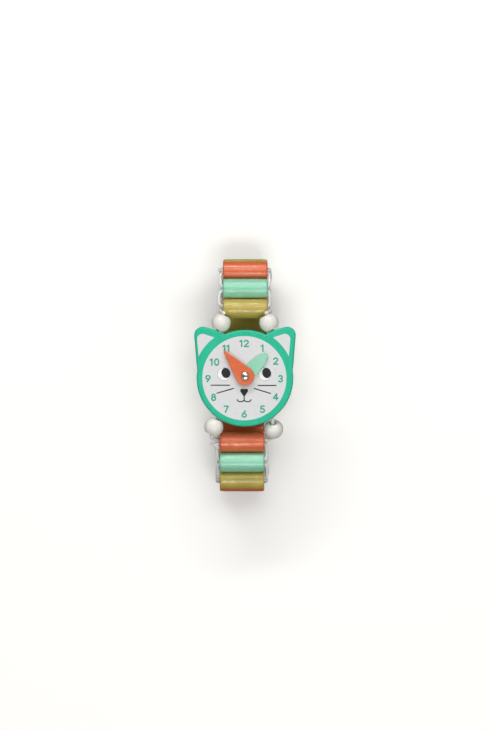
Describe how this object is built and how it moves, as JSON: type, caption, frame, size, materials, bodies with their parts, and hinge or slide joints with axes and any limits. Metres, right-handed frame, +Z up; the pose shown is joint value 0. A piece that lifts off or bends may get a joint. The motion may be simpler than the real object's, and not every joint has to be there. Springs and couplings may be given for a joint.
{
  "type": "toy watch",
  "caption": "Toy wrist watch of lacquered wood: cat-eared dial plate with two turning hands, and a strap of barrel beads strung on elastic in a closed loop.",
  "frame": {"origin": "on the surface the watch lies on, under the middle of the strap's loop", "axes": "+X to the three o'clock side, +Y to the twelve o'clock side, +Z up out of the dial's face"},
  "size_m": [0.0406, 0.0944, 0.0332],
  "materials": {
    "orange_lacquer": "glossy lacquered wood",
    "mint_lacquer": "glossy lacquered wood",
    "olive_lacquer": "glossy lacquered wood",
    "green_lacquer": "painted wood with a printed face",
    "white_lacquer": "glossy lacquered wood",
    "steel": "polished rivet",
    "elastic": "covered elastic cord"
  },
  "bodies": {
    "dial": {"dial_plate": "green_lacquer", "rivet": "steel", "back_washer": "steel", "elastic_plate": "elastic"},
    "hour_hand": {"hour_hand": "mint_lacquer"},
    "minute_hand": {"minute_hand": "orange_lacquer"},
    "link_01": {"elastic_link_01": "elastic"},
    "link_02": {"elastic_link_02": "elastic"},
    "link_03": {"elastic_link_03": "elastic"},
    "link_04": {"elastic_link_04": "elastic"},
    "link_05": {"elastic_link_05": "elastic"},
    "link_06": {"elastic_link_06": "elastic"},
    "link_07": {"elastic_link_07": "elastic"},
    "link_08": {"elastic_link_08": "elastic"},
    "link_09": {"elastic_link_09": "elastic"},
    "link_10": {"elastic_link_10": "elastic"},
    "link_11": {"elastic_link_11": "elastic"},
    "link_12": {"elastic_link_12": "elastic"},
    "link_13": {"elastic_link_13": "elastic"},
    "link_14": {"elastic_link_14": "elastic"},
    "link_15": {"elastic_link_15": "elastic"},
    "link_16": {"elastic_link_16": "elastic"},
    "link_17": {"elastic_link_17": "elastic"},
    "barrel_01": {"barrel_01": "orange_lacquer"},
    "barrel_02": {"barrel_02": "mint_lacquer"},
    "barrel_03": {"barrel_03": "olive_lacquer"},
    "barrel_04": {"barrel_04": "orange_lacquer"},
    "barrel_05": {"barrel_05": "mint_lacquer"},
    "barrel_06": {"barrel_06": "olive_lacquer"},
    "barrel_07": {"barrel_07": "orange_lacquer"},
    "barrel_08": {"barrel_08": "mint_lacquer"},
    "barrel_09": {"barrel_09": "olive_lacquer"},
    "barrel_10": {"barrel_10": "orange_lacquer"},
    "barrel_11": {"barrel_11": "mint_lacquer"},
    "barrel_12": {"barrel_12": "olive_lacquer"},
    "barrel_13": {"barrel_13": "orange_lacquer"},
    "barrel_14": {"barrel_14": "mint_lacquer"},
    "barrel_15": {"barrel_15": "olive_lacquer"},
    "barrel_16": {"barrel_16": "orange_lacquer"},
    "barrel_17": {"barrel_17": "mint_lacquer"},
    "barrel_18": {"barrel_18": "olive_lacquer"},
    "round_bead_top_left": {"round_bead_top_left": "white_lacquer"},
    "round_bead_top_right": {"round_bead_top_right": "white_lacquer"},
    "round_bead_bottom_left": {"round_bead_bottom_left": "white_lacquer"},
    "round_bead_bottom_right": {"round_bead_bottom_right": "white_lacquer"}
  },
  "joints": [
    {"name": "strap_flex", "type": "hinge", "parent": "dial", "child": "link_01", "pos_m": [0, -0.02682, 0.02222], "axis": [1, 0, 0], "range_deg": [0, 54.72]},
    {"name": "strap_bend_02", "type": "hinge", "parent": "link_01", "child": "link_02", "pos_m": [0, -0.03497, 0.02132], "axis": [1, 0, 0], "range_deg": [-17.56, 0.05]},
    {"name": "strap_bend_03", "type": "hinge", "parent": "link_02", "child": "link_03", "pos_m": [0, -0.04205, 0.01718], "axis": [1, 0, 0], "range_deg": [-41.25, 0.05]},
    {"name": "strap_bend_04", "type": "hinge", "parent": "link_03", "child": "link_04", "pos_m": [0, -0.0433, 0.00908], "axis": [1, 0, 0], "range_deg": [-36.39, 0.05]},
    {"name": "strap_bend_05", "type": "hinge", "parent": "link_04", "child": "link_05", "pos_m": [0, -0.0369, 0.00395], "axis": [1, 0, 0], "range_deg": [-7.71, 0.05]},
    {"name": "strap_bend_06", "type": "hinge", "parent": "link_05", "child": "link_06", "pos_m": [0, -0.0287, 0.00395], "axis": [1, 0, 0], "range_deg": [-0.05, 20.65]},
    {"name": "strap_bend_07", "type": "hinge", "parent": "link_06", "child": "link_07", "pos_m": [0, -0.0205, 0.00395], "axis": [1, 0, 0], "range_deg": [-0.05, 12.41]},
    {"name": "strap_bend_08", "type": "hinge", "parent": "link_07", "child": "link_08", "pos_m": [0, -0.0123, 0.00395], "axis": [1, 0, 0], "range_deg": [-0.05, 8.29]},
    {"name": "strap_bend_09", "type": "hinge", "parent": "link_08", "child": "link_09", "pos_m": [0, -0.0041, 0.00395], "axis": [1, 0, 0], "range_deg": [-0.05, 5.2]},
    {"name": "strap_bend_18", "type": "hinge", "parent": "dial", "child": "link_17", "pos_m": [0, 0.02682, 0.02222], "axis": [-1, 0, 0], "range_deg": [-0.05, 56.41]},
    {"name": "strap_bend_17", "type": "hinge", "parent": "link_17", "child": "link_16", "pos_m": [0, 0.03497, 0.02132], "axis": [-1, 0, 0], "range_deg": [-17.56, 0.05]},
    {"name": "strap_bend_16", "type": "hinge", "parent": "link_16", "child": "link_15", "pos_m": [0, 0.04205, 0.01718], "axis": [-1, 0, 0], "range_deg": [-41.25, 0.05]},
    {"name": "strap_bend_15", "type": "hinge", "parent": "link_15", "child": "link_14", "pos_m": [0, 0.0433, 0.00908], "axis": [-1, 0, 0], "range_deg": [-36.39, 0.05]},
    {"name": "strap_bend_14", "type": "hinge", "parent": "link_14", "child": "link_13", "pos_m": [0, 0.0369, 0.00395], "axis": [-1, 0, 0], "range_deg": [-7.71, 0.05]},
    {"name": "strap_bend_13", "type": "hinge", "parent": "link_13", "child": "link_12", "pos_m": [0, 0.0287, 0.00395], "axis": [-1, 0, 0], "range_deg": [-0.05, 20.65]},
    {"name": "strap_bend_12", "type": "hinge", "parent": "link_12", "child": "link_11", "pos_m": [0, 0.0205, 0.00395], "axis": [-1, 0, 0], "range_deg": [-0.05, 12.41]},
    {"name": "strap_bend_11", "type": "hinge", "parent": "link_11", "child": "link_10", "pos_m": [0, 0.0123, 0.00395], "axis": [-1, 0, 0], "range_deg": [-0.05, 8.29]},
    {"name": "barrel_01_spin", "type": "hinge", "parent": "dial", "child": "barrel_01", "pos_m": [-0.0012, -0.02682, 0.02222], "axis": [1, 0, 0], "continuous": true},
    {"name": "barrel_02_spin", "type": "hinge", "parent": "link_01", "child": "barrel_02", "pos_m": [-0.0012, -0.03497, 0.02132], "axis": [1, 0, 0], "continuous": true},
    {"name": "barrel_03_spin", "type": "hinge", "parent": "link_02", "child": "barrel_03", "pos_m": [-0.0012, -0.04205, 0.01718], "axis": [1, 0, 0], "continuous": true},
    {"name": "barrel_04_spin", "type": "hinge", "parent": "link_03", "child": "barrel_04", "pos_m": [-0.0012, -0.0433, 0.00908], "axis": [1, 0, 0], "continuous": true},
    {"name": "barrel_05_spin", "type": "hinge", "parent": "link_04", "child": "barrel_05", "pos_m": [-0.0012, -0.0369, 0.00395], "axis": [1, 0, 0], "continuous": true},
    {"name": "barrel_06_spin", "type": "hinge", "parent": "link_05", "child": "barrel_06", "pos_m": [-0.0012, -0.0287, 0.00395], "axis": [1, 0, 0], "continuous": true},
    {"name": "barrel_07_spin", "type": "hinge", "parent": "link_06", "child": "barrel_07", "pos_m": [-0.0012, -0.0205, 0.00395], "axis": [1, 0, 0], "continuous": true},
    {"name": "barrel_08_spin", "type": "hinge", "parent": "link_07", "child": "barrel_08", "pos_m": [-0.0012, -0.0123, 0.00395], "axis": [1, 0, 0], "continuous": true},
    {"name": "barrel_09_spin", "type": "hinge", "parent": "link_08", "child": "barrel_09", "pos_m": [-0.0012, -0.0041, 0.00395], "axis": [1, 0, 0], "continuous": true},
    {"name": "barrel_10_spin", "type": "hinge", "parent": "link_10", "child": "barrel_10", "pos_m": [0.0001, 0.0041, 0.00395], "axis": [1, 0, 0], "continuous": true},
    {"name": "barrel_11_spin", "type": "hinge", "parent": "link_11", "child": "barrel_11", "pos_m": [0.0001, 0.0123, 0.00395], "axis": [1, 0, 0], "continuous": true},
    {"name": "barrel_12_spin", "type": "hinge", "parent": "link_12", "child": "barrel_12", "pos_m": [0.0001, 0.0205, 0.00395], "axis": [1, 0, 0], "continuous": true},
    {"name": "barrel_13_spin", "type": "hinge", "parent": "link_13", "child": "barrel_13", "pos_m": [0.0001, 0.0287, 0.00395], "axis": [1, 0, 0], "continuous": true},
    {"name": "barrel_14_spin", "type": "hinge", "parent": "link_14", "child": "barrel_14", "pos_m": [0.0001, 0.0369, 0.00395], "axis": [1, 0, 0], "continuous": true},
    {"name": "barrel_15_spin", "type": "hinge", "parent": "link_15", "child": "barrel_15", "pos_m": [0.0001, 0.0433, 0.00908], "axis": [1, 0, 0], "continuous": true},
    {"name": "barrel_16_spin", "type": "hinge", "parent": "link_16", "child": "barrel_16", "pos_m": [0.0001, 0.04205, 0.01718], "axis": [1, 0, 0], "continuous": true},
    {"name": "barrel_17_spin", "type": "hinge", "parent": "link_17", "child": "barrel_17", "pos_m": [0.0001, 0.03497, 0.02132], "axis": [1, 0, 0], "continuous": true},
    {"name": "barrel_18_spin", "type": "hinge", "parent": "dial", "child": "barrel_18", "pos_m": [0.0001, 0.02682, 0.02222], "axis": [1, 0, 0], "continuous": true},
    {"name": "round_bead_top_left_spin", "type": "hinge", "parent": "dial", "child": "round_bead_top_left", "pos_m": [-0.00957, 0.02114, 0.02752], "axis": [0.4067, 0.9135, 0], "continuous": true},
    {"name": "round_bead_top_right_spin", "type": "hinge", "parent": "dial", "child": "round_bead_top_right", "pos_m": [0.00957, 0.02114, 0.02752], "axis": [-0.4067, 0.9135, 0], "continuous": true},
    {"name": "round_bead_bottom_left_spin", "type": "hinge", "parent": "dial", "child": "round_bead_bottom_left", "pos_m": [-0.0125, -0.02064, 0.02752], "axis": [-0.3746, -0.9272, 0], "continuous": true},
    {"name": "round_bead_bottom_right_spin", "type": "hinge", "parent": "dial", "child": "round_bead_bottom_right", "pos_m": [0.01151, -0.02159, 0.02452], "axis": [0.0877, -0.8341, -0.5446], "continuous": true},
    {"name": "hour_hand_turn", "type": "hinge", "parent": "dial", "child": "hour_hand", "pos_m": [0, -0.0003, 0.02752], "axis": [0, 0, -1], "continuous": true},
    {"name": "minute_hand_turn", "type": "hinge", "parent": "dial", "child": "minute_hand", "pos_m": [0, -0.0003, 0.02752], "axis": [0, 0, -1], "continuous": true}
  ],
  "couplings": [
    {"joint": "strap_bend_02", "follows": "strap_flex", "ratio": -0.31067},
    {"joint": "strap_bend_03", "follows": "strap_flex", "ratio": -0.73099},
    {"joint": "strap_bend_04", "follows": "strap_flex", "ratio": -0.64474},
    {"joint": "strap_bend_05", "follows": "strap_flex", "ratio": -0.13598},
    {"joint": "strap_bend_06", "follows": "strap_flex", "ratio": 0.3655},
    {"joint": "strap_bend_07", "follows": "strap_flex", "ratio": 0.2193},
    {"joint": "strap_bend_08", "follows": "strap_flex", "ratio": 0.1462},
    {"joint": "strap_bend_09", "follows": "strap_flex", "ratio": 0.09137},
    {"joint": "strap_bend_18", "follows": "strap_flex", "ratio": 1},
    {"joint": "strap_bend_17", "follows": "strap_flex", "ratio": -0.31067},
    {"joint": "strap_bend_16", "follows": "strap_flex", "ratio": -0.73099},
    {"joint": "strap_bend_15", "follows": "strap_flex", "ratio": -0.64474},
    {"joint": "strap_bend_14", "follows": "strap_flex", "ratio": -0.13598},
    {"joint": "strap_bend_13", "follows": "strap_flex", "ratio": 0.3655},
    {"joint": "strap_bend_12", "follows": "strap_flex", "ratio": 0.2193},
    {"joint": "strap_bend_11", "follows": "strap_flex", "ratio": 0.1462}
  ]
}
